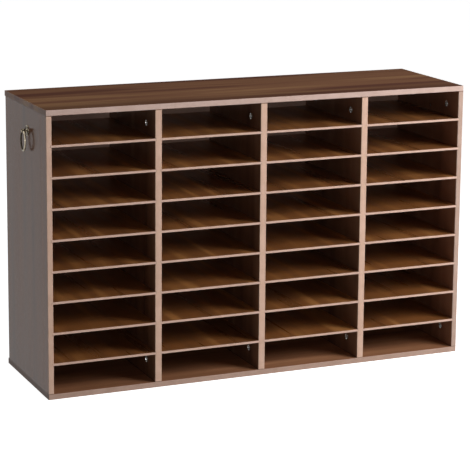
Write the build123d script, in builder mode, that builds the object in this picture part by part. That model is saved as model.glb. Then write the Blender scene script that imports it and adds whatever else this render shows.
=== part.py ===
from build123d import *
from collections import namedtuple
from math import atan2, degrees
import os

# Document sorter: a free-standing cabinet of open pigeonholes for paper.
# Boards are held by cam fittings and dowels, thin shelves slide in grooves
# from the front, a thin back is nailed on, and each side carries a ring pull.
# Millimetres. X runs along the front, -Y is the front and +Z is up. The origin
# is in the middle of the underside.

os.makedirs("parts", exist_ok=True)

# Cabinet, without the ring pulls
cabinet_width = 998.0
cabinet_depth = 298.0
cabinet_height = 629.0
column_count = 4
row_count = 9

# Boards
panel_thickness = 12.0
divider_thickness = 15.0
shelf_thickness = 5.0
back_thickness = 5.0
edge_break = 0.8
shelf_edge_break = 0.5

# Back panel, set between the top and the bottom
back_recess = 1.0
back_side_inset = 3.0
back_edge_gap = 0.5

# Shelf grooves, open at the front edge of each upright
groove_depth = 3.0
shelf_clearance = 0.3
shelf_end_gap = 0.4

# Cam fittings: a cam in the upright grips the head of a bolt in the panel
cam_radius = 7.4
cam_length = 9.6
cam_setback = 55.0
cam_end_distance = 37.0
cam_slot_length = 10.0
cam_slot_width = 1.8
cam_slot_depth = 1.4
cam_sides = 10
bolt_inset = 6.0
bolt_radius = 2.5
bolt_thread_length = 9.0
bolt_neck_radius = 1.5
bolt_neck_length = 5.0
bolt_head_length = 3.0
bolt_overreach = 1.0
bolt_sides = 6

# Dowel between the two cam fittings of each joint
dowel_radius = 3.0
dowel_length = 25.0
dowel_seat = 8.0
dowel_bevel = 1.0
dowel_sides = 6

# Nails through the back into the uprights
nail_count = 4
nail_end_distance = 31.0
nail_radius = 0.8
nail_grip = 15.0
nail_head_radius = 2.3
nail_head_thickness = 0.8
nail_sides = 6

# Ring pulls, one on each side, with the post above the uppermost shelf
pull_setback = 132.0
pull_rise = 11.3
rosette_radius = 12.0
rosette_rim_width = 2.4
rosette_rim_height = 1.8
rosette_disc_height = 0.9
post_foot_radius = 4.2
post_foot_height = 2.1
post_neck_radius = 3.3
post_sides = 12
post_ball_radius = 5.0
post_ball_height = 9.5
eye_land = 1.0
ring_half_width = 16.0
ring_half_height = 21.6
ring_end_radius = 11.5
ring_wire_radius = 2.0
ring_sides = 8
ring_facets = 28
ring_clearance = 0.3
screw_radius = 2.0
screw_reach = 4.0
screw_head_radius = 3.8
screw_head_height = 2.2
screw_slot_width = 1.1
screw_slot_depth = 1.0
screw_sink = 3.0
screw_sides = 8

# Fits of fixed pieces in their bores, room at the end of a bore, and overrun of cuts
bore_clearance = 0.1
bore_end_gap = 0.5
overrun = 2.0

# Places worked out from the sizes above
front_y = -cabinet_depth / 2
upright_depth = cabinet_depth - back_thickness - back_recess
upright_rear_y = front_y + upright_depth
upright_mid_y = front_y + upright_depth / 2
upright_height = cabinet_height - 2 * panel_thickness
upright_top_z = cabinet_height - panel_thickness
bays_width = cabinet_width - 2 * panel_thickness - (column_count - 1) * divider_thickness
bay_width = bays_width / column_count
row_height = (upright_height - (row_count - 1) * shelf_thickness) / row_count
row_pitch = row_height + shelf_thickness
shelf_floors = [upright_top_z - row * row_pitch for row in range(1, row_count)]
cam_ys = [front_y + cam_setback, upright_rear_y - cam_setback]
nail_pitch = (upright_height - 2 * nail_end_distance) / (nail_count - 1)
nail_zs = [panel_thickness + nail_end_distance + nail * nail_pitch for nail in range(nail_count)]
cam_bore_radius = cam_radius + bore_clearance
bolt_bore_radius = bolt_radius + bore_clearance
dowel_bore_radius = dowel_radius + bore_clearance
nail_bore_radius = nail_radius + bore_clearance
screw_bore_radius = screw_radius + bore_clearance
pull_y = front_y + pull_setback
pull_z = shelf_floors[0] + shelf_thickness + pull_rise

LEFT, RIGHT = -1, 1
UP, DOWN = 1, -1


def bay_left(column):
    """Left wall of a column of pigeonholes, counted from 0 at the left side."""
    return -cabinet_width / 2 + panel_thickness + column * (bay_width + divider_thickness)


# Uprights from left to right: the two sides and the dividers between the bays
Upright = namedtuple("Upright", "name left thickness grooved cam_side")
uprights = [Upright("left_side", -cabinet_width / 2, panel_thickness, [RIGHT], RIGHT)]
for column in range(1, column_count):
    divider_left = bay_left(column) - divider_thickness
    uprights.append(Upright(f"divider_{column}", divider_left, divider_thickness, [LEFT, RIGHT], LEFT))
uprights.append(Upright("right_side", cabinet_width / 2 - panel_thickness, panel_thickness, [LEFT], LEFT))


def middle_x(upright):
    return upright.left + upright.thickness / 2


def face_x(upright, side):
    return middle_x(upright) + side * upright.thickness / 2


def side_plane(x, y, z, side, up=UP):
    """Plane that looks along -X or +X, with its own Y axis pointing up or down."""
    return Plane(origin=(x, y, z), x_dir=(0, side * up, 0), z_dir=(side, 0, 0))


def end_plane(x, y, end):
    """Plane on the upper or lower end of an upright, looking out of the upright."""
    end_z = upright_top_z if end == UP else panel_thickness
    return Plane(origin=(x, y, end_z), x_dir=(1, 0, 0), z_dir=(0, 0, end))


# Seats of the fittings of one upright
def cam_seats(upright, end):
    cam_z = end_plane(0, 0, end).origin.Z - end * cam_end_distance
    return [side_plane(face_x(upright, upright.cam_side), y, cam_z, upright.cam_side, end) for y in cam_ys]


def bolt_seats(upright, end):
    axis_x = face_x(upright, upright.cam_side) - upright.cam_side * bolt_inset
    return [end_plane(axis_x, y, end) for y in cam_ys]


def dowel_seats(upright, end):
    return [end_plane(middle_x(upright), upright_mid_y, end)]


def nail_seats(upright, y):
    return [Plane(origin=(middle_x(upright), y, z), x_dir=(1, 0, 0), z_dir=(0, 1, 0)) for z in nail_zs]


def bore(seats, radius, sides, depth):
    """Cuts a many-sided bore at each seat, along the seat's Z axis."""
    with BuildSketch(*seats) as outlines:
        RegularPolygon(radius, sides)
    extrude(outlines.sketch, amount=depth, mode=Mode.SUBTRACT)


def ease_front(board, size):
    """Bevels the four edges of a board's front face."""
    chamfer(board.faces().sort_by(Axis.Y)[0].edges(), size)


def save(piece, label):
    piece.part.label = label
    export_step(piece.part, f"parts/{label}.step")


# Top and bottom panels, bored for the bolts and dowels of every upright
def make_panel(label, floor_z, end):
    with BuildPart() as panel:
        with BuildSketch(Plane.XY.offset(floor_z)):
            Rectangle(cabinet_width, cabinet_depth)
        extrude(amount=panel_thickness)
        ease_front(panel, edge_break)
        for upright in uprights:
            bore(bolt_seats(upright, end), bolt_bore_radius, bolt_sides, bolt_thread_length + bore_end_gap)
            bore(dowel_seats(upright, end), dowel_bore_radius, dowel_sides, dowel_seat + bore_end_gap)
    save(panel, label)


make_panel("top_panel", upright_top_z, UP)
make_panel("bottom_panel", 0, DOWN)


# Uprights, grooved for the shelves and bored for their fittings
def make_upright(upright):
    with BuildPart() as board:
        with BuildSketch(Plane.XY.offset(panel_thickness)):
            with Locations((middle_x(upright), upright_mid_y)):
                Rectangle(upright.thickness, upright_depth)
        extrude(amount=upright_height)
        ease_front(board, edge_break)

        groove_height = shelf_thickness + shelf_clearance
        for side in upright.grooved:
            with BuildSketch(side_plane(face_x(upright, side), upright_mid_y, 0, side)):
                with Locations(*[(0, floor + groove_height / 2) for floor in shelf_floors]):
                    Rectangle(upright_depth + 2 * overrun, groove_height)
            extrude(amount=-groove_depth, mode=Mode.SUBTRACT)

        for end in (UP, DOWN):
            bore(cam_seats(upright, end), cam_bore_radius, cam_sides, -cam_length)
            bore(bolt_seats(upright, end), bolt_bore_radius, bolt_sides, -cam_end_distance)
            dowel_depth = dowel_length - dowel_seat + bore_end_gap
            bore(dowel_seats(upright, end), dowel_bore_radius, dowel_sides, -dowel_depth)
        nail_depth = nail_grip + bore_end_gap
        bore(nail_seats(upright, upright_rear_y), nail_bore_radius, nail_sides, -nail_depth)

        # a side has one grooved face, and there the sunk hole for the screw of its ring pull
        if len(upright.grooved) == 1:
            inner = upright.grooved[0]
            seat = side_plane(face_x(upright, inner), pull_y, pull_z, inner)
            bore([seat], screw_bore_radius, screw_sides, -upright.thickness)
            bore([seat], screw_head_radius + bore_clearance, screw_sides, -screw_sink)
    save(board, upright.name)


for upright in uprights:
    make_upright(upright)


# Back panel, against the rear edges of the uprights
with BuildPart() as back:
    back_plane = Plane(origin=(0, upright_rear_y, cabinet_height / 2), x_dir=(1, 0, 0), z_dir=(0, -1, 0))
    with BuildSketch(back_plane):
        Rectangle(cabinet_width - 2 * back_side_inset, upright_height - 2 * back_edge_gap)
    extrude(amount=-back_thickness)
    for upright in uprights:
        bore(nail_seats(upright, upright_rear_y), nail_bore_radius, nail_sides, back_thickness)
save(back, "back_panel")


# Shelves: one under every pigeonhole but the lowest, each free to slide out
def make_shelf(column, row):
    with BuildPart() as shelf:
        with BuildSketch(Plane.XY.offset(shelf_floors[row])):
            with Locations((bay_left(column) + bay_width / 2, upright_mid_y)):
                Rectangle(bay_width + 2 * (groove_depth - shelf_end_gap), upright_depth)
        extrude(amount=shelf_thickness)
        ease_front(shelf, shelf_edge_break)
    save(shelf, f"shelf_column{column + 1}_row{row + 1}")


for column in range(column_count):
    for row in range(row_count - 1):
        make_shelf(column, row)


def save_group(label, piece, seats):
    """Copies of one piece, one at each seat, as separate solids in one node."""
    with BuildPart() as group:
        with Locations(*seats):
            add(piece.part)
    save(group, label)


joints = [(upright, end) for upright in uprights for end in (UP, DOWN)]

# Cam lock: its face on XY with a cross slot, and a passage for the bolt from +Y to its middle
with BuildPart() as cam:
    with BuildSketch():
        RegularPolygon(cam_radius, cam_sides)
    extrude(amount=-cam_length)
    with BuildSketch():
        Rectangle(cam_slot_length, cam_slot_width)
        Rectangle(cam_slot_width, cam_slot_length)
    extrude(amount=-cam_slot_depth, mode=Mode.SUBTRACT)
    passage_end = bolt_overreach + bore_end_gap
    passage = Plane(origin=(0, -passage_end, -bolt_inset), x_dir=(0, 0, 1), z_dir=(0, 1, 0))
    bore([passage], bolt_bore_radius, bolt_sides, passage_end + cam_radius + overrun)
save_group("cam_locks", cam, [seat for joint in joints for seat in cam_seats(*joint)])

# Cam bolt: threaded up into a panel, with a neck and a head down in the cam
with BuildPart() as bolt:
    head_start = cam_end_distance + bolt_overreach - bolt_head_length
    neck_start = head_start - bolt_neck_length
    with BuildSketch(Plane.XY.offset(bolt_thread_length)):
        RegularPolygon(bolt_radius, bolt_sides)
    extrude(amount=-(bolt_thread_length + neck_start))
    with BuildSketch(Plane.XY.offset(-neck_start)):
        RegularPolygon(bolt_neck_radius, bolt_sides)
    extrude(amount=-bolt_neck_length)
    with BuildSketch(Plane.XY.offset(-head_start)):
        RegularPolygon(bolt_radius, bolt_sides)
    extrude(amount=-bolt_head_length)
save_group("cam_bolts", bolt, [seat for joint in joints for seat in bolt_seats(*joint)])

# Dowel with bevelled ends
with BuildPart() as dowel:
    with BuildSketch(Plane.XY.offset(dowel_seat)):
        RegularPolygon(dowel_radius, dowel_sides)
    extrude(amount=-dowel_length)
    ends = dowel.faces().sort_by(Axis.Z)
    chamfer(ends[0].edges() + ends[-1].edges(), dowel_bevel)
save_group("wooden_dowels", dowel, [seat for joint in joints for seat in dowel_seats(*joint)])

# Nail with its head on the outside of the back
with BuildPart() as nail:
    with BuildSketch():
        RegularPolygon(nail_head_radius, nail_sides)
    extrude(amount=nail_head_thickness)
    with BuildSketch():
        RegularPolygon(nail_radius, nail_sides)
    extrude(amount=-(back_thickness + nail_grip))
nail_y = upright_rear_y + back_thickness
save_group("back_nails", nail, [seat for upright in uprights for seat in nail_seats(upright, nail_y)])

# Seats of the ring pulls, each with its own Z axis pointing out of its side
pull_seats = [side_plane(side * cabinet_width / 2, pull_y, pull_z, side) for side in (LEFT, RIGHT)]

# Rosette: a disc with a raised rim
with BuildPart() as rosette:
    rim_middle = rosette_radius - rosette_rim_width / 2
    rim_inner = rosette_radius - rosette_rim_width
    with BuildSketch(Plane.XZ):
        with BuildLine():
            Polyline(
                (screw_bore_radius, 0),
                (rosette_radius, 0),
                (rosette_radius, rosette_disc_height),
                (rim_middle, rosette_rim_height),
                (rim_inner, rosette_disc_height),
                (screw_bore_radius, rosette_disc_height),
                close=True,
            )
        make_face()
    revolve(axis=Axis.Z)
save_group("ring_rosettes", rosette, pull_seats)

# Post: a foot and neck under a ball. The eye for the ring runs along X, with a short
# round waist and a flare to both ends, so that the bent wire can turn in it
with BuildPart() as post:
    with BuildSketch(Plane.XY.offset(rosette_disc_height)):
        RegularPolygon(post_foot_radius, post_sides)
    extrude(amount=post_foot_height)
    with BuildSketch(Plane.XY.offset(rosette_disc_height)):
        RegularPolygon(post_neck_radius, post_sides)
    extrude(amount=post_ball_height - rosette_disc_height)
    with Locations((0, 0, post_ball_height)):
        Sphere(post_ball_radius)
    screw_depth = screw_reach + bore_end_gap
    bore([Plane.XY.offset(rosette_disc_height)], screw_bore_radius, screw_sides, screw_depth)
    eye_waist = ring_wire_radius + ring_clearance
    eye_mouth = eye_waist + ring_end_radius - (ring_end_radius**2 - post_ball_radius**2) ** 0.5
    with BuildSketch(Plane(origin=(0, 0, post_ball_height), x_dir=(1, 0, 0), z_dir=(0, -1, 0))):
        with BuildLine():
            Polyline(
                (-post_ball_radius, 0),
                (post_ball_radius, 0),
                (post_ball_radius, eye_mouth),
                (eye_land / 2, eye_waist),
                (-eye_land / 2, eye_waist),
                (-post_ball_radius, eye_mouth),
                close=True,
            )
        make_face()
    revolve(axis=Axis((0, 0, post_ball_height), (1, 0, 0)), mode=Mode.SUBTRACT)
save_group("ring_posts", post, pull_seats)

# Screw of a ring pull, from the inside of the cabinet through the side into the post
with BuildPart() as screw:
    head_z = screw_sink - panel_thickness
    with BuildSketch(Plane.XY.offset(head_z)):
        RegularPolygon(screw_radius, screw_sides)
    extrude(amount=rosette_disc_height + screw_reach - head_z)
    with BuildSketch(Plane.XY.offset(head_z)):
        RegularPolygon(screw_head_radius, screw_sides)
    extrude(amount=-screw_head_height)
    with BuildSketch(Plane.XY.offset(head_z - screw_head_height)):
        Rectangle(2 * screw_head_radius, screw_slot_width)
    extrude(amount=screw_slot_depth, mode=Mode.SUBTRACT)
save_group("ring_screws", screw, pull_seats)


# Ring: an oval of tangent arcs followed in straight facets, hanging from the eye of its post
def make_ring(label, side):
    end_centre = ring_half_height - ring_end_radius
    flank = ring_half_width**2 + end_centre**2 - ring_end_radius**2
    side_radius = flank / (2 * (ring_half_width - ring_end_radius))
    side_centre = side_radius - ring_half_width
    tangent = degrees(atan2(end_centre, side_centre))
    ring_x = side * (cabinet_width / 2 + post_ball_height)
    ring_plane = Plane(origin=(ring_x, pull_y, pull_z - ring_half_height), x_dir=(0, 1, 0), z_dir=(1, 0, 0))
    with BuildLine(ring_plane) as oval:
        CenterArc((0, end_centre), ring_end_radius, 90, 90 - tangent)
        CenterArc((side_centre, 0), side_radius, 180 - tangent, 2 * tangent)
        CenterArc((0, -end_centre), ring_end_radius, 180 + tangent, 180 - 2 * tangent)
        CenterArc((-side_centre, 0), side_radius, -tangent, 2 * tangent)
        CenterArc((0, end_centre), ring_end_radius, tangent, 90 - tangent)
    loop = oval.wires()[0]
    corners = [loop @ (facet / ring_facets) for facet in range(ring_facets)]
    first_middle = (corners[0] + corners[1]) * 0.5
    with BuildPart() as ring:
        with BuildLine():
            Polyline(first_middle, *corners[1:], corners[0], first_middle)
        with BuildSketch(Plane(origin=first_middle, x_dir=(1, 0, 0), z_dir=corners[1] - corners[0])):
            RegularPolygon(ring_wire_radius, ring_sides)
        sweep(transition=Transition.RIGHT)
    save(ring, label)


make_ring("left_ring", LEFT)
make_ring("right_ring", RIGHT)
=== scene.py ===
import math
from collections import namedtuple

import bpy
from bpy.props import FloatProperty, FloatVectorProperty, IntProperty, PointerProperty
from mathutils import Matrix, Vector


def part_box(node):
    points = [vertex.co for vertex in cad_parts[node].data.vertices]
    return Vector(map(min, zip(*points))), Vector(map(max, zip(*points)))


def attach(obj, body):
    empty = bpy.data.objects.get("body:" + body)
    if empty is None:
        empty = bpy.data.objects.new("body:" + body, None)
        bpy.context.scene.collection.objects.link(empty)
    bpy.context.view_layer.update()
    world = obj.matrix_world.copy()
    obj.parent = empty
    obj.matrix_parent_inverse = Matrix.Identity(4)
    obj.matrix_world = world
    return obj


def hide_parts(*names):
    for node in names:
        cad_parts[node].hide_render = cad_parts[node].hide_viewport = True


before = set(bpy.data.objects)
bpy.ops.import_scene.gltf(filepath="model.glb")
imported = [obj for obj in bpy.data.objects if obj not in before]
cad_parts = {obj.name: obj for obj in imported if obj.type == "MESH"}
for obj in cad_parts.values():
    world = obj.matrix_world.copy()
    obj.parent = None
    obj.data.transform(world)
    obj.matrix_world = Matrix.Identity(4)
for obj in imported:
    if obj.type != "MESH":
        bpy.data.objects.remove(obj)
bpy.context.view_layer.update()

bl_info = {
    "name": "Document Sorter",
    "version": (1, 0, 0),
    "blender": (4, 5, 0),
    "location": "View3D > Sidebar > Sorter",
    "description": "Finishes, fittings and studio stage of a wooden document sorter",
    "category": "Add Mesh",
}

MM = 0.001
LEFT, RIGHT = -1, 1
UP, DOWN = 1, -1
UPRIGHTS = ("left_side", "divider_1", "divider_2", "divider_3", "right_side")
SHELVES = sorted(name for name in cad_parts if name.startswith("shelf_column"))
OUTER_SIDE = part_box("right_side")[1].x
QUARTER_TURN = math.radians(90)
PLAIN = (1.0, 1.0, 1.0)

# The levels between which most of a noise lies
NOISE_SPAN = (0.3, 0.7)

# Grain of the walnut: scales of its layers, and the levels at which the streaks turn dark and pale
FIGURE_SCALE = (1.6, 17, 17)
FIBRE_SCALE = (26, 820, 820)
PORE_SCALE = (75, 1500, 1500)
STREAK_ALONG = 0.045
FIGURE_SHARE = 0.45
PORE_SHARE = 0.4
DARK_LEVEL, MIDDLE_LEVEL, PALE_LEVEL = 0.34, 0.5, 0.66

# Front bands, arrises, painted shade in the seams and along the front, and coats of the boards
SKIN = 0.4 * MM
BAND_DEPTH = 0.9 * MM
BAND_ROUGHER = 0.12
ARRIS_WIDTH = 1.6 * MM
ARRIS_WEAR = 0.45
# Painted shade along the front of the top: its cloud, how far its border wanders, how much and how dark it shades
FRONT_SHADE_SCALE = (5, 24, 24)
FRONT_SHADE_WANDER = 30 * MM
FRONT_SHADE_SHARE, FRONT_SHADE_DARKNESS = 0.68, 0.72
# Painted shade in the seams where an upright meets the top and the bottom: its width, share and darkness
SEAM_SHADE_WIDTH = 1.4 * MM
SEAM_SHADE_SHARE, SEAM_SHADE_DARKNESS = 0.75, 0.4
VARNISH_ROUGHNESS = 0.42
GLAZE_ROUGHNESS = 0.15
GRAIN_RELIEF = 0.1 * MM

# Patina of a metal at its front, worn thin, and at its back, thickened as painted shade, as shares of its usual amount
FRONT_PATINA, BACK_PATINA = 0.65, 1.5

# The moulded edge of a rosette, as (inset from its rim, height) in mm
ROSETTE_BEAD = ((0, 0), (0, 0.55), (0.3, 1.1), (0.8, 1.6), (1.4, 1.78), (2.0, 1.6), (2.5, 1.05), (2.9, 0.8),
                (3.6, 0.75), (4.6, 0.84), (5.6, 0.9))

# The foot and neck of a post, as (radius, height) in mm
POST_FOOT = ((4.2, 0.9), (4.2, 2.2), (3.9, 2.7), (3.35, 3.0), (3.2, 4.2))

# How a board looks. Its band shares of the front band's colour are partly the band's own colour and partly painted
# light and shade: lighter on the left side, darker on the top, the bottom and the right side. Its shares of the wood's
# colour are painted light.
BoardLook = namedtuple(
    "BoardLook", "streaks contrast fibre gloss sheen band varnish heart end_shade tint glaze",
    defaults=(PLAIN, None, 0.0, 1.0, PLAIN, 0.0))
Lamp = namedtuple("Lamp", "name spot target size")
KEY = Lamp("key_light", (1.5, -1.5, 1.38), (0.1, 0.0, 0.32), 1.3)
FILL = Lamp("fill_light", (-0.7, -3.5, 0.85), (0.0, 0.0, 0.4), 0.5)
TOP = Lamp("top_light", (-0.5, 0.1, 2.5), (-0.1, 0.0, 0.6), 1.4)


def tone(red, green, blue):
    """A colour written as 0 to 255 on screen, as the linear values that shaders take."""
    shares = (red / 255, green / 255, blue / 255)
    return tuple(s / 12.92 if s <= 0.04045 else ((s + 0.055) / 1.055) ** 2.4 for s in shares)


def colour_property(label, words, default):
    return FloatVectorProperty(name=label, description=words, subtype="COLOR", size=3, min=0, max=1, default=default)


def length_property(label, words, default):
    return FloatProperty(name=label, description=words, unit="LENGTH", subtype="DISTANCE", precision=5, default=default)


class SorterFinishes(bpy.types.PropertyGroup):
    """Colours of the boards and the fittings"""

    walnut_pale: colour_property("Walnut pale", "Pale streaks of the outer boards", tone(160, 114, 86))
    walnut_mid: colour_property("Walnut middle", "Main colour of the outer boards", tone(132, 90, 67))
    walnut_dark: colour_property("Walnut dark", "Dark streaks of the outer boards", tone(97, 65, 50))
    top_pale: colour_property("Top pale", "Olive streaks of the top", tone(150, 113, 82))
    top_mid: colour_property("Top middle", "Main colour of the top", tone(128, 91, 69))
    top_dark: colour_property("Top dark", "Red streaks of the top", tone(102, 68, 56))
    shelf_pale: colour_property("Shelf pale", "Pale streaks of the shelves", tone(178, 122, 69))
    shelf_mid: colour_property("Shelf middle", "Main colour of the shelves", tone(140, 89, 48))
    shelf_dark: colour_property("Shelf dark", "Dark streaks of the shelves", tone(122, 77, 42))
    floor_pale: colour_property("Bottom pale", "Pale streaks of the bottom", tone(176, 127, 94))
    floor_mid: colour_property("Bottom middle", "Main colour of the bottom", tone(147, 102, 73))
    floor_dark: colour_property("Bottom dark", "Dark streaks of the bottom", tone(114, 76, 56))
    edge_tan: colour_property("Edge tan", "Front edges of all boards", tone(209, 176, 159))
    edge_rose: colour_property("Edge rose", "Mottling of the front edges", tone(202, 168, 150))
    hardboard: colour_property("Hardboard", "Back panel", tone(183, 148, 132))
    hardboard_fleck: colour_property("Hardboard fleck", "Flecks in the back panel", tone(197, 165, 149))
    brass_worn: colour_property("Brass worn", "Rubbed places of the ring pulls", tone(180, 168, 146))
    brass_patina: colour_property("Brass patina", "Hollows of the ring pulls", tone(66, 57, 45))
    zinc: colour_property("Zinc", "Cam locks", tone(206, 206, 204))
    steel: colour_property("Steel", "Nails, screws and bolts", tone(176, 176, 178))
    beech: colour_property("Beech", "Dowels", tone(205, 170, 124))


class SorterFittings(bpy.types.PropertyGroup):
    """Sizes and places of the fittings that show"""

    cam_radius: length_property("Cam radius", "Half the width of a cam lock", 7.4 * MM)
    cam_length: length_property("Cam length", "How deep a cam lock sits in its board", 9.6 * MM)
    cam_rim: length_property("Cam rim", "Width of the raised rim of a cam lock", 1.3 * MM)
    cam_slot: length_property("Cam slot", "Width of the cross slot", 1.8 * MM)
    cam_slot_length: length_property("Cam slot length", "Length of the cross slot", 10 * MM)
    cam_front_y: length_property("Front cams", "Place of the front cams from front to back", -94 * MM)
    cam_rear_y: length_property("Rear cams", "Place of the rear cams from front to back", 88 * MM)
    cam_low_z: length_property("Lower cams", "Height of the lower cams", 49 * MM)
    cam_high_z: length_property("Upper cams", "Height of the upper cams", 580 * MM)
    bolt_inset: length_property("Bolt inset", "Depth of a cam bolt's axis under the cam's face", 6 * MM)
    bolt_bore: length_property("Bolt bore", "Radius of the passage for a cam bolt", 2.6 * MM)
    pull_y: length_property("Pull place", "Place of the ring pulls from front to back", -17 * MM)
    pull_z: length_property("Pull height", "Height of the ring pulls' posts", 565.522 * MM)
    rosette_radius: length_property("Rosette radius", "Half the width of a rosette", 12 * MM)
    ball_radius: length_property("Ball radius", "Radius of a post's ball", 5 * MM)
    ball_height: length_property("Ball height", "Distance of a ball's middle from the side", 9.5 * MM)
    wire_radius: length_property("Wire radius", "Half the thickness of a ring", 2 * MM)
    ring_half_width: length_property("Ring half width", "Half the width of a ring at its wire's middle", 16 * MM)
    ring_half_height: length_property("Ring half height", "Half the height of a ring at its wire's middle", 21.6 * MM)
    ring_end_radius: length_property("Ring end radius", "Radius of the upper and lower bends of a ring", 11.5 * MM)
    nail_radius: length_property("Nail radius", "Half the width of a nail's head", 2.3 * MM)
    nail_rows: IntProperty(name="Nail rows", description="Nails in each upright", default=4, min=2)
    nail_low_z: length_property("Lowest nails", "Height of the lowest nails", 43 * MM)
    nail_high_z: length_property("Highest nails", "Height of the highest nails", 586 * MM)
    screw_radius: length_property("Screw head radius", "Half the width of a ring pull's screw head", 3.8 * MM)
    screw_sink: length_property("Screw sink", "Depth of the screw head's seat in the side", 3 * MM)


class SorterStage(bpy.types.PropertyGroup):
    """Camera, floor and lights"""

    camera_place: FloatVectorProperty(
        name="Camera place", description="Where the camera stands", subtype="XYZ", unit="LENGTH",
        default=(-1.70572, -3.92751, 1.27925))
    camera_azimuth: FloatProperty(
        name="Azimuth", description="Turn of the camera round the sorter", subtype="ANGLE", unit="ROTATION",
        default=math.radians(-23.4227))
    camera_elevation: FloatProperty(
        name="Elevation", description="Height of the view above the horizon", subtype="ANGLE", unit="ROTATION",
        default=math.radians(10.7823))
    camera_roll: FloatProperty(
        name="Roll", description="Tilt of the picture", subtype="ANGLE", unit="ROTATION", default=math.radians(0.4633))
    focal_length: FloatProperty(
        name="Focal length", description="Lens for a sensor 36 mm wide", unit="CAMERA", default=147.143)
    shift_y: FloatProperty(
        name="Shift", description="Shift of the lens, as a share of the picture's width", default=-0.15957)
    key_power: FloatProperty(name="Key", description="Light from the right front", unit="POWER", default=46.6)
    fill_power: FloatProperty(name="Fill", description="Weak light from the front", unit="POWER", default=8)
    top_power: FloatProperty(name="Top", description="Light from above", unit="POWER", default=9.0)
    sky_level: FloatProperty(name="Sky", description="Level of the surrounding light", default=0.09, min=0)
    floor_colour: colour_property("Floor", "Colour of the floor", (0.86, 0.86, 0.86))
    floor_fleck: colour_property("Floor fleck", "Paler clouds of the floor", (0.88, 0.88, 0.88))
    floor_lift: FloatProperty(
        name="Floor lift", description="White added to the floor's own colour for the camera", default=0.92)


def finishes():
    return bpy.context.scene.sorter_finishes


def fittings():
    return bpy.context.scene.sorter_fittings


def opaque(colour):
    return (colour[0], colour[1], colour[2], 1)


def tinted(colour, shares):
    return opaque([share * c for share, c in zip(shares, colour)])


def shaded(colour, share):
    return tinted(colour, (share, share, share))


# Shader helpers
def feed(tree, socket, value):
    """Links a socket to another, or sets it to a plain value."""
    if isinstance(value, bpy.types.NodeSocket):
        tree.links.new(value, socket)
    else:
        socket.default_value = value


def new_node(tree, kind, **settings):
    node = tree.nodes.new(kind)
    node.location = (200 * (len(tree.nodes) % 8), -220 * (len(tree.nodes) // 8))
    for key, value in settings.items():
        setattr(node, key, value)
    return node


def calc(tree, operation, *values, clamp=False):
    node = new_node(tree, "ShaderNodeMath", operation=operation, use_clamp=clamp)
    for socket, value in zip(node.inputs, values):
        feed(tree, socket, value)
    return node.outputs[0]


def stretch(tree, vector, factors):
    node = new_node(tree, "ShaderNodeVectorMath", operation="MULTIPLY")
    feed(tree, node.inputs[0], vector)
    feed(tree, node.inputs[1], factors)
    return node.outputs[0]


def cloud(tree, vector, scale=1.0, detail=2.0, roughness=0.5, distortion=0.0):
    node = new_node(tree, "ShaderNodeTexNoise")
    feed(tree, node.inputs["Vector"], vector)
    feed(tree, node.inputs["Scale"], scale)
    feed(tree, node.inputs["Detail"], detail)
    feed(tree, node.inputs["Roughness"], roughness)
    feed(tree, node.inputs["Distortion"], distortion)
    return node.outputs["Fac"]


def ease(tree, value, low, high, out_low=0.0, out_high=1.0):
    node = new_node(tree, "ShaderNodeMapRange", interpolation_type="SMOOTHSTEP")
    feed(tree, node.inputs["Value"], value)
    feed(tree, node.inputs["From Min"], low)
    feed(tree, node.inputs["From Max"], high)
    feed(tree, node.inputs["To Min"], out_low)
    feed(tree, node.inputs["To Max"], out_high)
    return node.outputs["Result"]


def mingle(tree, share, first, second, way="MIX"):
    node = new_node(tree, "ShaderNodeMix", data_type="RGBA", blend_type=way)
    feed(tree, node.inputs[0], share)
    feed(tree, node.inputs[6], first)
    feed(tree, node.inputs[7], second)
    return node.outputs[2]


def grey(tree, value):
    node = new_node(tree, "ShaderNodeCombineColor")
    for socket in node.inputs:
        feed(tree, socket, value)
    return node.outputs[0]


def axes_of(tree, vector):
    node = new_node(tree, "ShaderNodeSeparateXYZ")
    feed(tree, node.inputs[0], vector)
    return node.outputs


def new_group(name, inputs, outputs):
    """A shader node group with named sockets, and its input and output nodes."""
    group = bpy.data.node_groups.new(name, "ShaderNodeTree")
    for label, kind, default in inputs:
        socket = group.interface.new_socket(name=label, in_out="INPUT", socket_type=kind)
        socket.default_value = default
    for label, kind in outputs:
        group.interface.new_socket(name=label, in_out="OUTPUT", socket_type=kind)
    return group, new_node(group, "NodeGroupInput").outputs, new_node(group, "NodeGroupOutput").inputs


def use_group(tree, name, **values):
    """Places a node group in a material, with its own values."""
    node = new_node(tree, "ShaderNodeGroup", node_tree=bpy.data.node_groups[name])
    for label, value in values.items():
        feed(tree, node.inputs[label.replace("_", " ")], value)
    return node.outputs


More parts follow.
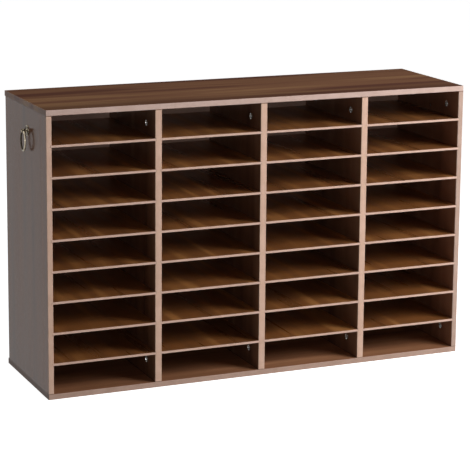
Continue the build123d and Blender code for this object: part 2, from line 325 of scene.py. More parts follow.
def make_walnut_group():
    """Walnut grain that runs along X of the vector: broad figure, streaks, fibres and pores."""
    group, given, result = new_group(
        "Walnut grain",
        [("Vector", "NodeSocketVector", (0, 0, 0)), ("Pale", "NodeSocketColor", (1, 1, 1, 1)),
         ("Mid", "NodeSocketColor", (1, 1, 1, 1)), ("Dark", "NodeSocketColor", (0, 0, 0, 1)),
         ("Streaks", "NodeSocketFloat", 90.0), ("Contrast", "NodeSocketFloat", 1.0), ("Fibre", "NodeSocketFloat", 1.0),
         ("Gloss", "NodeSocketFloat", 0.45)],
        [("Color", "NodeSocketColor"), ("Roughness", "NodeSocketFloat"), ("Height", "NodeSocketFloat")])
    vector = given["Vector"]
    figure = cloud(group, stretch(group, vector, FIGURE_SCALE), distortion=0.3)
    scale = new_node(group, "ShaderNodeCombineXYZ")
    feed(group, scale.inputs[0], calc(group, "MULTIPLY", given["Streaks"], STREAK_ALONG))
    feed(group, scale.inputs[1], given["Streaks"])
    feed(group, scale.inputs[2], given["Streaks"])
    streaks = cloud(group, stretch(group, vector, scale.outputs[0]), detail=1.3, distortion=0.1)
    fibres = cloud(group, stretch(group, vector, FIBRE_SCALE))
    pores = ease(group, cloud(group, stretch(group, vector, PORE_SCALE), detail=1), 0.60, 0.72)
    mixed = calc(group, "MULTIPLY_ADD", figure, FIGURE_SHARE, calc(group, "MULTIPLY", streaks, 1 - FIGURE_SHARE))
    offset = calc(group, "SUBTRACT", mixed, MIDDLE_LEVEL)
    spread = calc(group, "MULTIPLY_ADD", offset, given["Contrast"], MIDDLE_LEVEL)
    wood = mingle(group, ease(group, spread, DARK_LEVEL, MIDDLE_LEVEL), given["Dark"], given["Mid"])
    wood = mingle(group, ease(group, spread, MIDDLE_LEVEL, PALE_LEVEL), wood, given["Pale"])
    threads = calc(group, "MULTIPLY_ADD", ease(group, fibres, *NOISE_SPAN, -0.14, 0.12), given["Fibre"], 1.0)
    wood = mingle(group, 1.0, wood, grey(group, threads), "MULTIPLY")
    pitted = calc(group, "MULTIPLY", calc(group, "MULTIPLY", pores, PORE_SHARE), given["Fibre"])
    feed(group, result["Color"], mingle(group, pitted, wood, given["Dark"]))
    rough = calc(group, "ADD", given["Gloss"], ease(group, streaks, *NOISE_SPAN, -0.05, 0.06))
    feed(group, result["Roughness"], calc(group, "MULTIPLY_ADD", pores, 0.1, rough))
    feed(group, result["Height"], calc(group, "MULTIPLY_ADD", pores, -0.6, fibres))


def make_edge_group():
    """The bare tan front edge: a mask up to a depth behind the front, and its mottled colour."""
    group, given, result = new_group(
        "Front edge",
        [("Vector", "NodeSocketVector", (0, 0, 0)), ("Front", "NodeSocketFloat", 0.0),
         ("Depth", "NodeSocketFloat", 0.001), ("Tan", "NodeSocketColor", (1, 1, 1, 1)),
         ("Rose", "NodeSocketColor", (1, 1, 1, 1))],
        [("Mask", "NodeSocketFloat"), ("Color", "NodeSocketColor"), ("Height", "NodeSocketFloat")])
    behind = calc(group, "SUBTRACT", axes_of(group, given["Vector"])[1], given["Front"])
    feed(group, result["Mask"], calc(group, "LESS_THAN", behind, given["Depth"]))
    mottle = cloud(group, given["Vector"], scale=42, detail=3, roughness=0.6)
    grit = cloud(group, given["Vector"], scale=1300)
    shade = mingle(group, ease(group, mottle, 0.32, 0.68), given["Rose"], given["Tan"])
    shade = mingle(group, 1.0, shade, grey(group, ease(group, grit, *NOISE_SPAN, 0.95, 1.04)), "MULTIPLY")
    feed(group, result["Color"], shade)
    feed(group, result["Height"], grit)


def make_arris_group():
    """Mask of the worn arrises of a board: near two faces of its box at once, broken up by noise."""
    group, given, result = new_group(
        "Worn arris",
        [("Vector", "NodeSocketVector", (0, 0, 0)), ("Low", "NodeSocketVector", (0, 0, 0)),
         ("High", "NodeSocketVector", (1, 1, 1)), ("Width", "NodeSocketFloat", 0.001)],
        [("Mask", "NodeSocketFloat")])
    nearest = new_node(group, "ShaderNodeVectorMath", operation="MINIMUM")
    for socket, (far, near) in zip(nearest.inputs, (("Vector", "Low"), ("High", "Vector"))):
        gap = new_node(group, "ShaderNodeVectorMath", operation="SUBTRACT")
        feed(group, gap.inputs[0], given[far])
        feed(group, gap.inputs[1], given[near])
        feed(group, socket, gap.outputs[0])
    x, y, z = axes_of(group, nearest.outputs[0])
    second = calc(group, "MAXIMUM", calc(group, "MINIMUM", x, y),
                  calc(group, "MINIMUM", calc(group, "MAXIMUM", x, y), z))
    rubbing = cloud(group, given["Vector"], scale=60, detail=3)
    broken = calc(group, "MULTIPLY", given["Width"], ease(group, rubbing, *NOISE_SPAN, 0.3, 1.2))
    feed(group, result["Mask"], ease(group, calc(group, "DIVIDE", second, broken), 1.0, 0.35))


def make_patina_group():
    """Old metal: dark in the clouds of its patina, bright where it is worn, with fine scratches."""
    group, given, result = new_group(
        "Metal patina",
        [("Vector", "NodeSocketVector", (0, 0, 0)), ("Bright", "NodeSocketColor", (1, 1, 1, 1)),
         ("Dark", "NodeSocketColor", (0, 0, 0, 1)), ("Amount", "NodeSocketFloat", 0.5),
         ("Size", "NodeSocketFloat", 300.0), ("Gloss", "NodeSocketFloat", 0.3)],
        [("Color", "NodeSocketColor"), ("Roughness", "NodeSocketFloat"), ("Height", "NodeSocketFloat")])
    clouds = cloud(group, given["Vector"], given["Size"], detail=4, roughness=0.6, distortion=0.4)
    edge = calc(group, "SUBTRACT", 0.85, calc(group, "MULTIPLY", given["Amount"], 0.7))
    softness = 0.12
    mask = ease(group, clouds, calc(group, "SUBTRACT", edge, softness), calc(group, "ADD", edge, softness))
    scratches = cloud(group, stretch(group, given["Vector"], (900, 900, 5200)))
    colour = mingle(group, mask, given["Bright"], given["Dark"])
    scratched = grey(group, ease(group, scratches, 0.25, 0.75, 0.88, 1.08))
    feed(group, result["Color"], mingle(group, 1.0, colour, scratched, "MULTIPLY"))
    rough = calc(group, "ADD", given["Gloss"], ease(group, scratches, *NOISE_SPAN, -0.06, 0.06))
    feed(group, result["Roughness"], calc(group, "MULTIPLY_ADD", mask, 0.18, rough))
    feed(group, result["Height"], calc(group, "MULTIPLY_ADD", mask, -0.5, scratches))


def new_material(name):
    """A material with a Principled BSDF and the object's own coordinates."""
    material = bpy.data.materials.new(name)
    material.use_nodes = True
    tree = material.node_tree
    tree.nodes.clear()
    shader = new_node(tree, "ShaderNodeBsdfPrincipled")
    output = new_node(tree, "ShaderNodeOutputMaterial")
    tree.links.new(shader.outputs[0], output.inputs[0])
    spot = new_node(tree, "ShaderNodeTexCoord").outputs["Object"]
    return material, tree, shader, spot


def set_bump(tree, shader, height, distance):
    node = new_node(tree, "ShaderNodeBump")
    node.inputs["Distance"].default_value = distance
    node.inputs["Strength"].default_value = 0.5
    feed(tree, node.inputs["Height"], height)
    tree.links.new(node.outputs[0], shader.inputs["Normal"])


def turned_grain(tree, spot, order):
    """The coordinates with their axes in another order, so that the first one follows the grain."""
    axes = axes_of(tree, spot)
    joined = new_node(tree, "ShaderNodeCombineXYZ")
    for socket, axis in zip(joined.inputs, order):
        feed(tree, socket, axes["XYZ".index(axis)])
    return joined.outputs[0]


def wood_material(name, node, order, colours, look, worn=True, seam_shaded=False):
    """A laminated board: walnut grain, a tan front band, worn arrises, painted shade along its front, on its ends and
    in the seams where it meets the top and the bottom, and its coats.
    """
    material, tree, shader, spot = new_material(name)
    # Painted light: the wood's colours are lightened and cooled by the board's shares for them
    pale, mid, dark = (tinted(colour, look.tint) for colour in colours)
    low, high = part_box(node)
    x, y, z = axes_of(tree, spot)
    grain = use_group(tree, "Walnut grain", Vector=turned_grain(tree, spot, order), Pale=pale, Mid=mid, Dark=dark,
                      Streaks=look.streaks, Contrast=look.contrast, Fibre=look.fibre, Gloss=look.gloss)
    band = use_group(tree, "Front edge", Vector=spot, Front=low.y, Depth=BAND_DEPTH,
                     Tan=tinted(finishes().edge_tan, look.band), Rose=tinted(finishes().edge_rose, look.band))
    colour = grain["Color"]
    # Painted shade: the board darkens towards its front edge, along a wandering border
    if look.heart:
        wander = cloud(tree, stretch(tree, spot, FRONT_SHADE_SCALE))
        inward = calc(tree, "ADD", y, calc(tree, "MULTIPLY_ADD", wander, FRONT_SHADE_WANDER, -FRONT_SHADE_WANDER / 2))
        heart = ease(tree, inward, low.y + 0.2 * look.heart, low.y + look.heart, FRONT_SHADE_SHARE, 0.0)
        colour = mingle(tree, heart, colour, shaded(dark, FRONT_SHADE_DARKNESS))
    if worn:
        arris = use_group(tree, "Worn arris", Vector=spot, Low=low, High=high, Width=ARRIS_WIDTH)
        colour = mingle(tree, calc(tree, "MULTIPLY", arris["Mask"], ARRIS_WEAR), colour, pale)
    colour = mingle(tree, band["Mask"], colour, band["Color"])
    if look.varnish:
        on_ends, on_front = look.varnish
        ends = calc(tree, "GREATER_THAN", calc(tree, "ABSOLUTE", x), high.x - SKIN)
        # Painted shade: the ends are darkened by the board's end share, which on the bottom is the shade near the floor
        ends_in_painted_shade = mingle(tree, 1.0, colour, shaded(PLAIN, look.end_shade), "MULTIPLY")
        colour = mingle(tree, ends, colour, ends_in_painted_shade)
        coat = calc(tree, "MAXIMUM", calc(tree, "MULTIPLY", ends, on_ends),
                    calc(tree, "MULTIPLY", band["Mask"], on_front))
        tree.links.new(coat, shader.inputs["Coat Weight"])
        shader.inputs["Coat Roughness"].default_value = VARNISH_ROUGHNESS
    if look.glaze:
        indoors = calc(tree, "LESS_THAN", calc(tree, "ABSOLUTE", x), OUTER_SIDE - SKIN)
        indoors = calc(tree, "SUBTRACT", indoors, band["Mask"], clamp=True)
        tree.links.new(calc(tree, "MULTIPLY", indoors, look.glaze), shader.inputs["Coat Weight"])
        shader.inputs["Coat Roughness"].default_value = GLAZE_ROUGHNESS
    if seam_shaded:
        # Painted shade in the seams at the board's foot and head
        foot = calc(tree, "LESS_THAN", z, low.z + SEAM_SHADE_WIDTH)
        head = calc(tree, "GREATER_THAN", z, high.z - SEAM_SHADE_WIDTH)
        painted_seam_shade = calc(tree, "MULTIPLY", calc(tree, "ADD", foot, head), SEAM_SHADE_SHARE)
        colour = mingle(tree, painted_seam_shade, colour, shaded(mid, SEAM_SHADE_DARKNESS))
    tree.links.new(colour, shader.inputs["Base Color"])
    rough = calc(tree, "MULTIPLY_ADD", band["Mask"], BAND_ROUGHER, grain["Roughness"])
    tree.links.new(rough, shader.inputs["Roughness"])
    shader.inputs["Specular IOR Level"].default_value = look.sheen
    set_bump(tree, shader, grain["Height"], GRAIN_RELIEF * look.fibre)
    return material


def metal_material(name, bright, dark, amount, size, bump, gloss=0.3, worn_and_shaded=None):
    """Old metal whose patina can grow from front to back, in Y, between two given places: worn thin at the front,
    thickened at the back as painted shade.
    """
    material, tree, shader, spot = new_material(name)
    if worn_and_shaded:
        y = axes_of(tree, spot)[1]
        amount = ease(tree, y, *worn_and_shaded, FRONT_PATINA * amount, BACK_PATINA * amount)
    patina = use_group(tree, "Metal patina", Vector=spot, Bright=opaque(bright), Dark=opaque(dark),
                       Amount=amount, Size=size, Gloss=gloss)
    tree.links.new(patina["Color"], shader.inputs["Base Color"])
    tree.links.new(patina["Roughness"], shader.inputs["Roughness"])
    shader.inputs["Metallic"].default_value = 1.0
    set_bump(tree, shader, patina["Height"], bump)
    return material


def dress(node, material):
    """Gives a CAD node its material."""
    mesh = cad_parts[node].data
    mesh.materials.clear()
    mesh.materials.append(material)


# Modelling helpers
def select_only(piece=None):
    if bpy.context.object and bpy.context.object.mode != "OBJECT":
        bpy.ops.object.mode_set(mode="OBJECT")
    bpy.ops.object.select_all(action="DESELECT")
    if piece:
        piece.select_set(True)
        bpy.context.view_layer.objects.active = piece


def smooth(piece, degrees):
    select_only(piece)
    bpy.ops.object.shade_smooth_by_angle(angle=math.radians(degrees))


def named(piece, name):
    piece.name = name
    piece.data.name = name
    return piece


def turn_profile(name, profile, segments):
    """Turns (radius, height) pairs about Z as on a lathe: a circle extruded step by step and closed at both ends."""
    select_only()
    radius, height = profile[0]
    bpy.ops.mesh.primitive_circle_add(vertices=segments, radius=radius, location=(0, 0, height))
    bpy.ops.object.transform_apply(location=True, rotation=True, scale=True)
    piece = named(bpy.context.object, name)
    bpy.ops.object.mode_set(mode="EDIT")
    bpy.ops.mesh.select_all(action="SELECT")
    bpy.ops.mesh.edge_face_add()
    bpy.ops.mesh.select_all(action="SELECT")
    for next_radius, next_height in profile[1:]:
        bpy.ops.mesh.extrude_region_move(TRANSFORM_OT_translate={"value": (0, 0, next_height - height)})
        share = next_radius / radius
        bpy.ops.transform.resize(value=(share, share, 1), center_override=(0, 0, next_height))
        radius, height = next_radius, next_height
    bpy.ops.mesh.select_all(action="SELECT")
    bpy.ops.mesh.normals_make_consistent(inside=False)
    bpy.ops.object.mode_set(mode="OBJECT")
    return piece


def place(piece, matrix):
    """Moves a finished piece to its seat and puts its place into its mesh."""
    select_only(piece)
    piece.matrix_world = matrix
    bpy.ops.object.transform_apply(location=True, rotation=True, scale=True)


def cut(piece, cutter):
    """Cuts a piece by another, which is then deleted."""
    select_only(piece)
    modifier = piece.modifiers.new("Cut", "BOOLEAN")
    modifier.object = cutter
    modifier.solver = "EXACT"
    bpy.ops.object.modifier_apply(modifier=modifier.name)
    bpy.data.objects.remove(cutter)


def add_bar(size, centre):
    """A square bar that cuts a slot."""
    select_only()
    bpy.ops.mesh.primitive_cube_add(size=1, location=centre)
    bar = bpy.context.object
    bar.scale = size
    bpy.ops.object.transform_apply(location=True, rotation=True, scale=True)
    return bar


def round_edges(piece, width):
    select_only(piece)
    modifier = piece.modifiers.new("Rounded edges", "BEVEL")
    modifier.width = width
    modifier.segments = 2
    modifier.limit_method = "ANGLE"
    modifier.angle_limit = math.radians(35)
    modifier.use_clamp_overlap = True
    bpy.ops.object.modifier_apply(modifier=modifier.name)
    smooth(piece, 40)


def copy_to_seats(piece, seats, name):
    """One copy of a piece at each seat, joined into one object."""
    copies = []
    for seat in seats:
        copy = piece.copy()
        copy.data = piece.data.copy()
        bpy.context.scene.collection.objects.link(copy)
        place(copy, seat)
        copies.append(copy)
    bpy.data.objects.remove(piece)
    select_only(copies[0])
    for copy in copies[1:]:
        copy.select_set(True)
    bpy.ops.object.join()
    return named(bpy.context.object, name)


def mount(piece, body, slot, material, *nodes):
    """Gives a finished piece its material and its body, and hides the CAD nodes that it stands for."""
    piece.data.materials.clear()
    piece.data.materials.append(material)
    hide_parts(*nodes)
    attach(piece, body)


def side_seat(x, y, z, side, up=UP):
    """Seat on an upright's face: Z points out of the face and Y up or down."""
    out = Vector((side, 0, 0))
    over = Vector((0, side * up, 0))
    axes = Matrix((over, out.cross(over), out)).transposed().to_4x4()
    return Matrix.Translation((x, y, z)) @ axes


def cam_face(upright):
    """The face of an upright that shows its cams, and the way it looks."""
    low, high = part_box(upright)
    return (high.x, RIGHT) if upright == "left_side" else (low.x, LEFT)


class SORTER_OT_node_groups(bpy.types.Operator):
    """Build the grain, front edge, arris and patina effects that the materials share"""

    bl_idname = "sorter.node_groups"
    bl_label = "Shared Finishes"

    def execute(self, context):
        make_walnut_group()
        make_edge_group()
        make_arris_group()
        make_patina_group()
        return {"FINISHED"}


class SORTER_OT_boards(bpy.types.Operator):
    """Finish the top, bottom, sides and dividers in walnut laminate with tan front edges"""

    bl_idname = "sorter.boards"
    bl_label = "Boards"

    def execute(self, context):
        f = finishes()
        colours = (f.walnut_pale, f.walnut_mid, f.walnut_dark)
        # The top carries painted shade along its front edge
        top = BoardLook(streaks=24.0, contrast=1.35, fibre=0.5, gloss=0.55, sheen=0.0, band=(0.88, 0.93, 1.0),
                        varnish=(0.5, 0.6), heart=90 * MM)
        top_colours = (f.top_pale, f.top_mid, f.top_dark)
        dress("top_panel", wood_material("walnut_top", "top_panel", "XYZ", top_colours, top))
        # The bottom: its front band and its ends are darkened as painted shade near the floor
        bottom = BoardLook(streaks=30.0, contrast=0.6, fibre=0.6, gloss=0.5, sheen=0.0, band=(0.76, 0.76, 0.76),
                           varnish=(0.5, 0.3), end_shade=0.35)
        floor_colours = (f.floor_pale, f.floor_mid, f.floor_dark)
        dress("bottom_panel", wood_material("walnut_bottom", "bottom_panel", "XYZ", floor_colours, bottom))
        left = BoardLook(streaks=24.0, contrast=0.6, fibre=0.25, gloss=0.18, sheen=0.062, band=(1.07, 1.06, 1.02),
                         glaze=0.9)
        # The right side and the dividers get cooler copies of the walnut, the right side's also paler: painted light on
        # their faces in the openings. The right side's front band is darker, as painted shade.
        right = left._replace(band=(0.77, 0.80, 0.82), tint=(1.1, 1.12, 1.15))
        divider = left._replace(tint=(0.92, 1.05, 1.1))
        for node, look in zip(UPRIGHTS, (left, divider, divider, divider, right)):
            dress(node, wood_material(f"walnut_{node}", node, "ZXY", colours, look, seam_shaded=True))
        return {"FINISHED"}


class SORTER_OT_shelves(bpy.types.Operator):
    """Finish the sliding shelves, with the grain from front to back"""

    bl_idname = "sorter.shelves"
    bl_label = "Shelves"

    def execute(self, context):
        f = finishes()
        look = BoardLook(streaks=32.0, contrast=1.0, fibre=0.5, gloss=0.32, sheen=0.5)
        colours = (f.shelf_pale, f.shelf_mid, f.shelf_dark)
        material = wood_material("walnut_shelves", SHELVES[0], "YXZ", colours, look, worn=False)
        for node in SHELVES:
            dress(node, material)
        return {"FINISHED"}


class SORTER_OT_back(bpy.types.Operator):
    """Finish the back panel as tan flecked hardboard"""

    bl_idname = "sorter.back"
    bl_label = "Back Panel"

    def execute(self, context):
        f = finishes()
        material, tree, shader, spot = new_material("hardboard_back")
        flecks = cloud(tree, stretch(tree, spot, (420, 420, 420)), detail=3, roughness=0.65)
        clouds = grey(tree, ease(tree, cloud(tree, spot, scale=9), *NOISE_SPAN, 0.88, 1.06))
        colour = mingle(tree, ease(tree, flecks, 0.42, 0.7), opaque(f.hardboard), opaque(f.hardboard_fleck))
        tree.links.new(mingle(tree, 1.0, colour, clouds, "MULTIPLY"), shader.inputs["Base Color"])
        tree.links.new(ease(tree, flecks, *NOISE_SPAN, 0.58, 0.74), shader.inputs["Roughness"])
        shader.inputs["Specular IOR Level"].default_value = 0.3
        set_bump(tree, shader, flecks, 0.12 * MM)
        dress("back_panel", material)
        return {"FINISHED"}


class SORTER_OT_inner_fittings(bpy.types.Operator):
    """Finish the cam bolts and dowels inside the joints"""

    bl_idname = "sorter.inner_fittings"
    bl_label = "Bolts and Dowels"

    def execute(self, context):
        f = finishes()
        plated = metal_material("plated_bolts", f.steel, shaded(f.steel, 0.5), amount=0.3, size=260, bump=0.03 * MM)
        dress("cam_bolts", plated)
        material, tree, shader, spot = new_material("beech_dowels")
        grain = use_group(tree, "Walnut grain", Vector=turned_grain(tree, spot, "ZXY"), Streaks=900.0,
                          Pale=opaque(f.beech), Mid=shaded(f.beech, 0.85), Dark=shaded(f.beech, 0.6))
        tree.links.new(grain["Color"], shader.inputs["Base Color"])
        tree.links.new(grain["Roughness"], shader.inputs["Roughness"])
        set_bump(tree, shader, grain["Height"], 0.08 * MM)
        dress("wooden_dowels", material)
        return {"FINISHED"}


class SORTER_OT_cam_locks(bpy.types.Operator):
    """Model the round cam locks with a raised rim, a cross slot and a passage for the bolt"""

    bl_idname = "sorter.cam_locks"
    bl_label = "Cam Locks"

    def execute(self, context):
        f = fittings()
        r = f.cam_radius
        mouth = r - f.cam_rim
        bevel, draft, dish = 0.3 * MM, 0.1 * MM, 2.4 * MM
        cam = turn_profile("cam_lock", [
            (r, -f.cam_length), (r, -bevel), (r - bevel, 0), (mouth, 0), (mouth - draft, -dish),
            (0.4 * r, -dish)], segments=40)
        slot_depth = 2 * MM
        for size in ((f.cam_slot_length, f.cam_slot, slot_depth), (f.cam_slot, f.cam_slot_length, slot_depth)):
            cut(cam, add_bar(size, (0, 0, -dish)))
        passage = turn_profile("passage", [(f.bolt_bore, -1.5 * MM), (f.bolt_bore, 2 * r)], segments=16)
        place(passage, Matrix.Translation((0, 0, -f.bolt_inset)) @ Matrix.Rotation(-QUARTER_TURN, 4, "X"))
        cut(cam, passage)
        round_edges(cam, 0.14 * MM)
        seats = []
        for upright in UPRIGHTS:
            x, side = cam_face(upright)
            for y in (f.cam_front_y, f.cam_rear_y):
                seats.append(side_seat(x, y, f.cam_high_z, side, UP))
                seats.append(side_seat(x, y, f.cam_low_z, side, DOWN))
        cams = copy_to_seats(cam, seats, "cam_lock_set")
        zinc = finishes().zinc
        metal = metal_material("cast_zinc", zinc, shaded(zinc, 0.45), amount=0.35, size=420, bump=0.02 * MM, gloss=0.14)
        mount(cams, "cabinet", "zinc_alloy", metal, "cam_locks")
        return {"FINISHED"}


class SORTER_OT_nails(bpy.types.Operator):
    """Model the domed nails that hold the back to the uprights"""

    bl_idname = "sorter.nails"
    bl_label = "Nails"

    def execute(self, context):
        f = fittings()
        r = f.nail_radius
        shank, tip, taper, crown = 0.8 * MM, 20 * MM, 1.4 * MM, 0.78 * MM
        nail = turn_profile("nail", [
            (0.4 * shank, -tip), (shank, taper - tip), (shank, 0), (r, 0.02 * MM), (r, 0.22 * MM),
            (0.86 * r, 0.5 * MM), (0.55 * r, 0.7 * MM), (0.2 * r, crown)], segments=20)
        smooth(nail, 35)
        back_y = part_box("back_panel")[1].y
        rise = (f.nail_high_z - f.nail_low_z) / (f.nail_rows - 1)
        seats = []
        for upright in UPRIGHTS:
            low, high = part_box(upright)
            for row in range(f.nail_rows):
                seat = Matrix.Translation(((low.x + high.x) / 2, back_y, f.nail_low_z + row * rise))
                seats.append(seat @ Matrix.Rotation(-QUARTER_TURN, 4, "X"))
        nails = copy_to_seats(nail, seats, "back_nail_set")
        steel = finishes().steel
        metal = metal_material("plated_nails", steel, shaded(steel, 0.4), amount=0.4, size=500, bump=0.03 * MM)
        mount(nails, "cabinet", "steel", metal, "back_nails")
        return {"FINISHED"}


class SORTER_OT_ring_pulls(bpy.types.Operator):
    """Model the ring pulls: rosettes, posts with a ball and an eye, screws and hanging rings"""

    bl_idname = "sorter.ring_pulls"
    bl_label = "Ring Pulls"

    def execute(self, context):
        f = fittings()
        colours = finishes()
        worn, patina, steel = colours.brass_worn, colours.brass_patina, colours.steel
        brass = metal_material("antique_brass", worn, patina, amount=0.6, size=240, bump=0.08 * MM)
        # The rings and posts: worn bright at the front, darker at the back as painted shade
        worn_front_shaded_back = metal_material("rubbed_brass", worn, patina, amount=0.56, size=240, bump=0.05 * MM, gloss=0.22,
                                 worn_and_shaded=(f.pull_y - f.ring_half_width, f.pull_y + f.ring_half_width))
        plated = metal_material("plated_screws", steel, shaded(steel, 0.4), amount=0.35, size=500, bump=0.03 * MM)
        sides = [(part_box("left_side")[0].x, LEFT), (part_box("right_side")[1].x, RIGHT)]
        seats = [side_seat(x, f.pull_y, f.pull_z, side) for x, side in sides]

        rosettes = copy_to_seats(self.turn_rosette(), seats, "ring_rosette_pair")
        mount(rosettes, "cabinet", "antique_brass", brass, "ring_rosettes")
        posts = copy_to_seats(self.turn_post(), seats, "ring_post_pair")
        mount(posts, "cabinet", "antique_brass", worn_front_shaded_back, "ring_posts")
        screws = copy_to_seats(self.turn_screw(), seats, "ring_screw_pair")
        mount(screws, "cabinet", "steel", plated, "ring_screws")
        for node, (x, side) in zip(("left_ring", "right_ring"), sides):
            ring = self.bend_ring(f"{node}_oval", x + side * f.ball_height)
            mount(ring, node, "antique_brass", worn_front_shaded_back, node)
        return {"FINISHED"}

    def turn_rosette(self):
        r = fittings().rosette_radius
        hole = 2.2 * MM
        bead = [(r - inset * MM, height * MM) for inset, height in ROSETTE_BEAD]
        rosette = turn_profile("rosette", [(hole, 0), *bead], segments=56)
        smooth(rosette, 40)
        return rosette

    def turn_post(self):
        """Turns a post with its ball, and cuts the waisted eye across it."""
        f = fittings()
        ball, height = f.ball_radius, f.ball_height
        foot = [(radius * MM, z * MM) for radius, z in POST_FOOT]
        angles = [math.radians(a) for a in range(-48, 85, 11)]
        round_part = [(ball * math.cos(a), height + ball * math.sin(a)) for a in angles]
        tip = (0.25 * MM, height + 0.998 * ball)
        post = turn_profile("post", [*foot, *round_part, tip], segments=40)
        waist = f.wire_radius + 0.3 * MM
        mouth = waist + 1.3 * MM
        half, reach = 0.5 * MM, 1.1 * ball
        eye = turn_profile("eye", [(mouth, -reach), (waist, -half), (waist, half), (mouth, reach)], segments=28)
        place(eye, Matrix.Translation((0, 0, height)) @ Matrix.Rotation(QUARTER_TURN, 4, "Y"))
        cut(post, eye)
        round_edges(post, 0.15 * MM)
        return post

    def turn_screw(self):
        """Turns a screw with a domed head in the side's inner face, and cuts its slot."""
        f = fittings()
        r, shank = f.screw_radius, 2 * MM
        side_thickness = 12 * MM
        head = f.screw_sink - side_thickness
        screw = turn_profile("screw", [
            (1.2 * MM, 4.9 * MM), (shank, 4.2 * MM), (shank, head), (r, head), (r, head - 1.3 * MM),
            (0.85 * r, head - 1.9 * MM), (0.5 * r, head - 2.2 * MM)], segments=32)
        cut(screw, add_bar((2.4 * r, 1.1 * MM, 2.2 * MM), (0, 0, head - 2.3 * MM)))
        round_edges(screw, 0.1 * MM)
        return screw

    def bend_ring(self, name, x):
        """Spins a round wire section along the four arcs of the oval."""
        f = fittings()
        end_centre = f.ring_half_height - f.ring_end_radius
        flank = f.ring_half_width**2 + end_centre**2 - f.ring_end_radius**2
        side_radius = flank / (2 * (f.ring_half_width - f.ring_end_radius))
        side_centre = side_radius - f.ring_half_width
        turn = math.atan2(end_centre, side_centre)
        middle = f.pull_z - f.ring_half_height
        select_only()
        bpy.ops.mesh.primitive_circle_add(
            vertices=20, radius=f.wire_radius, rotation=(-turn, 0, 0),
            location=(x, f.pull_y - side_centre + side_radius * math.cos(turn), middle - side_radius * math.sin(turn)))
        bpy.ops.object.transform_apply(location=True, rotation=True, scale=True)
        ring = named(bpy.context.object, name)
        bpy.ops.object.mode_set(mode="EDIT")
        bpy.ops.mesh.select_all(action="SELECT")
        arcs = [(-side_centre, 0, 2 * turn), (0, end_centre, math.pi - 2 * turn),
                (side_centre, 0, 2 * turn), (0, -end_centre, math.pi - 2 * turn)]
        for y, z, angle in arcs:
            bpy.ops.mesh.spin(steps=22, angle=-angle, center=(x, f.pull_y + y, middle + z), axis=(1, 0, 0))
        bpy.ops.mesh.select_all(action="SELECT")
        bpy.ops.mesh.remove_doubles(threshold=0.01 * MM)
        bpy.ops.mesh.normals_make_consistent(inside=False)
        bpy.ops.object.mode_set(mode="OBJECT")
        bpy.ops.object.shade_smooth()
        low = min(v.co.z for v in ring.data.vertices)
        if abs(low - (middle - f.ring_half_height - f.wire_radius)) > 0.2 * MM:
            raise RuntimeError(f"{name} was bent to the wrong side")
        return ring


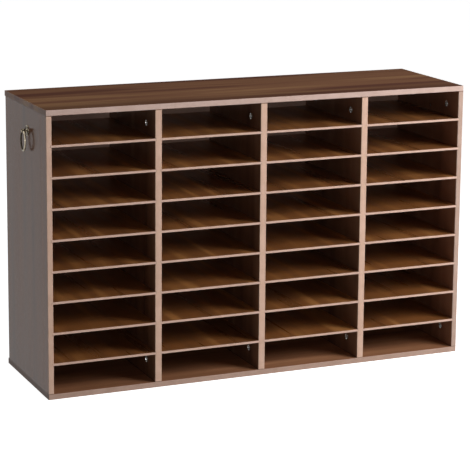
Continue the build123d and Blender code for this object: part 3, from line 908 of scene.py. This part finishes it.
class SORTER_OT_stage(bpy.types.Operator):
    """Lay the pale floor and set the lights, the surroundings and the camera"""

    bl_idname = "sorter.stage"
    bl_label = "Stage"

    def execute(self, context):
        s = context.scene.sorter_stage
        context.scene.view_settings.view_transform = "Standard"
        self.lay_floor(s)
        for lamp, power in ((KEY, s.key_power), (FILL, s.fill_power), (TOP, s.top_power)):
            self.add_lamp(lamp, power)
        self.set_sky(context.scene, s)
        self.set_camera(context.scene, s)
        return {"FINISHED"}

    def lay_floor(self, s):
        select_only()
        bpy.ops.mesh.primitive_plane_add(size=60, location=(0, 0, -0.5 * MM))
        floor = named(bpy.context.object, "studio_floor")
        bpy.ops.object.transform_apply(location=True, rotation=True, scale=True)
        material, tree, shader, spot = new_material("pale_floor")
        paper = ease(tree, cloud(tree, spot, scale=35), *NOISE_SPAN)
        colour = mingle(tree, paper, opaque(s.floor_colour), opaque(s.floor_fleck))
        tree.links.new(colour, shader.inputs["Base Color"])
        shader.inputs["Roughness"].default_value = 0.9
        shader.inputs["Specular IOR Level"].default_value = 0.0
        shader.inputs["Emission Color"].default_value = (1, 1, 1, 1)
        rays = new_node(tree, "ShaderNodeLightPath").outputs
        tree.links.new(calc(tree, "MULTIPLY", rays["Is Camera Ray"], s.floor_lift), shader.inputs["Emission Strength"])
        white = new_node(tree, "ShaderNodeEmission")
        mirrored = new_node(tree, "ShaderNodeMixShader")
        in_mirror = calc(tree, "ADD", rays["Is Glossy Ray"], rays["Is Transmission Ray"], clamp=True)
        tree.links.new(in_mirror, mirrored.inputs[0])
        tree.links.new(shader.outputs[0], mirrored.inputs[1])
        tree.links.new(white.outputs[0], mirrored.inputs[2])
        tree.links.new(mirrored.outputs[0], tree.get_output_node("ALL").inputs[0])
        floor.data.materials.append(material)

    def add_lamp(self, lamp, power):
        select_only()
        bpy.ops.object.light_add(type="AREA", location=lamp.spot)
        light = named(bpy.context.object, lamp.name)
        light.rotation_euler = (Vector(lamp.target) - Vector(lamp.spot)).to_track_quat("-Z", "Y").to_euler()
        light.data.shape = "DISK"
        light.data.size = lamp.size
        light.data.energy = power

    def set_sky(self, scene, s):
        world = bpy.data.worlds.new("studio_sky")
        world.use_nodes = True
        tree = world.node_tree
        sky = tree.nodes["Background"]
        sky.inputs["Color"].default_value = (1, 1, 1, 1)
        rays = new_node(tree, "ShaderNodeLightPath").outputs
        seen = calc(tree, "ADD", rays["Is Camera Ray"], rays["Is Glossy Ray"])
        seen = calc(tree, "ADD", seen, rays["Is Transmission Ray"], clamp=True)
        tree.links.new(calc(tree, "MULTIPLY_ADD", seen, 1 - s.sky_level, s.sky_level), sky.inputs["Strength"])
        scene.world = world

    def set_camera(self, scene, s):
        select_only()
        bpy.ops.object.camera_add()
        camera = named(bpy.context.object, "photo_camera")
        a, e, roll = s.camera_azimuth, s.camera_elevation, s.camera_roll
        back = Vector((math.sin(a) * math.cos(e), -math.cos(a) * math.cos(e), math.sin(e)))
        across = Vector((math.cos(a), math.sin(a), 0))
        over = back.cross(across)
        right = across * math.cos(roll) + over * math.sin(roll)
        up = over * math.cos(roll) - across * math.sin(roll)
        axes = Matrix((right, up, back)).transposed().to_4x4()
        camera.matrix_world = Matrix.Translation(s.camera_place) @ axes
        camera.data.sensor_width = 36
        camera.data.lens = s.focal_length
        camera.data.shift_y = s.shift_y
        camera.data.clip_start, camera.data.clip_end = 0.1, 100
        scene.camera = camera


class SORTER_PT_panel(bpy.types.Panel):
    """Sizes and colours of the sorter, and the steps that build it"""

    bl_label = "Document Sorter"
    bl_idname = "SORTER_PT_panel"
    bl_space_type = "VIEW_3D"
    bl_region_type = "UI"
    bl_category = "Sorter"

    def draw(self, context):
        for group in ("sorter_finishes", "sorter_fittings", "sorter_stage"):
            box = self.layout.box()
            settings = getattr(context.scene, group)
            for name in settings.__annotations__:
                box.prop(settings, name)
        for operator in OPERATORS:
            self.layout.operator(operator.bl_idname)


OPERATORS = (SORTER_OT_node_groups, SORTER_OT_boards, SORTER_OT_shelves, SORTER_OT_back, SORTER_OT_inner_fittings,
             SORTER_OT_cam_locks, SORTER_OT_nails, SORTER_OT_ring_pulls, SORTER_OT_stage)
CLASSES = (SorterFinishes, SorterFittings, SorterStage, *OPERATORS, SORTER_PT_panel)


def register():
    for cls in CLASSES:
        bpy.utils.register_class(cls)
    bpy.types.Scene.sorter_finishes = PointerProperty(type=SorterFinishes)
    bpy.types.Scene.sorter_fittings = PointerProperty(type=SorterFittings)
    bpy.types.Scene.sorter_stage = PointerProperty(type=SorterStage)


def unregister():
    del bpy.types.Scene.sorter_stage
    del bpy.types.Scene.sorter_fittings
    del bpy.types.Scene.sorter_finishes
    for cls in reversed(CLASSES):
        bpy.utils.unregister_class(cls)


def main():
    register()
    bpy.ops.sorter.node_groups()
    bpy.ops.sorter.boards()
    bpy.ops.sorter.shelves()
    bpy.ops.sorter.back()
    bpy.ops.sorter.inner_fittings()
    bpy.ops.sorter.cam_locks()
    bpy.ops.sorter.nails()
    bpy.ops.sorter.ring_pulls()
    bpy.ops.sorter.stage()


if __name__ == "__main__":
    main()
